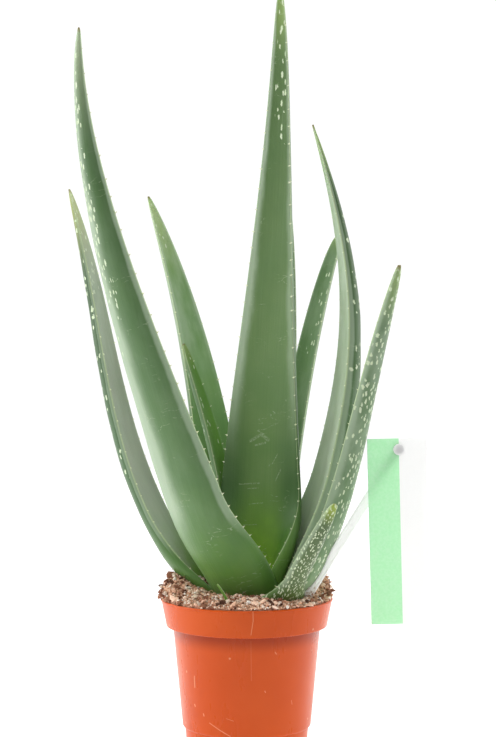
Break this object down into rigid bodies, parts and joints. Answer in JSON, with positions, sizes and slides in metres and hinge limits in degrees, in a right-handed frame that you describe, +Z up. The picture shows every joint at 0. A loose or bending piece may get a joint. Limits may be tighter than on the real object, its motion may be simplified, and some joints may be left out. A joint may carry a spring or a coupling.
{
  "type": "potted aloe plant",
  "caption": "Rosette of long, fleshy, toothed leaves rooted in soil in a round tapered nursery pot, with a bare plant label on a stake.",
  "frame": {"origin": "centre of the pot's underside, on the surface it stands on", "axes": "+Z up along the pot's axis, -Y towards the front of the plant, +X to its right"},
  "size_m": [0.2569, 0.1599, 0.5461],
  "materials": {
    "pot_plastic": "terracotta-coloured thin moulded plastic, satin, lightly scratched",
    "soil": "loose coir and bark potting mix with white perlite grains",
    "stem": "pale green short stem core, matte",
    "leaf": "waxy blue-green succulent skin with white flecks and pale margins",
    "label_plastic": "white moulded plastic",
    "label_card": "smooth printed card, pale green half and white half, no text"
  },
  "bodies": {
    "root": {"pot": "pot_plastic", "soil": "soil", "stem": "stem", "leaf_tall": "leaf", "leaf_left": "leaf", "leaf_right": "leaf", "leaf_low_left": "leaf", "leaf_low_right": "leaf", "leaf_back_left": "leaf", "leaf_back_right": "leaf", "leaf_hidden": "leaf", "leaf_young": "leaf", "leaf_spotted": "leaf", "sprout": "leaf", "label_stake": "label_plastic", "label_card": "label_card"}
  },
  "joints": []
}
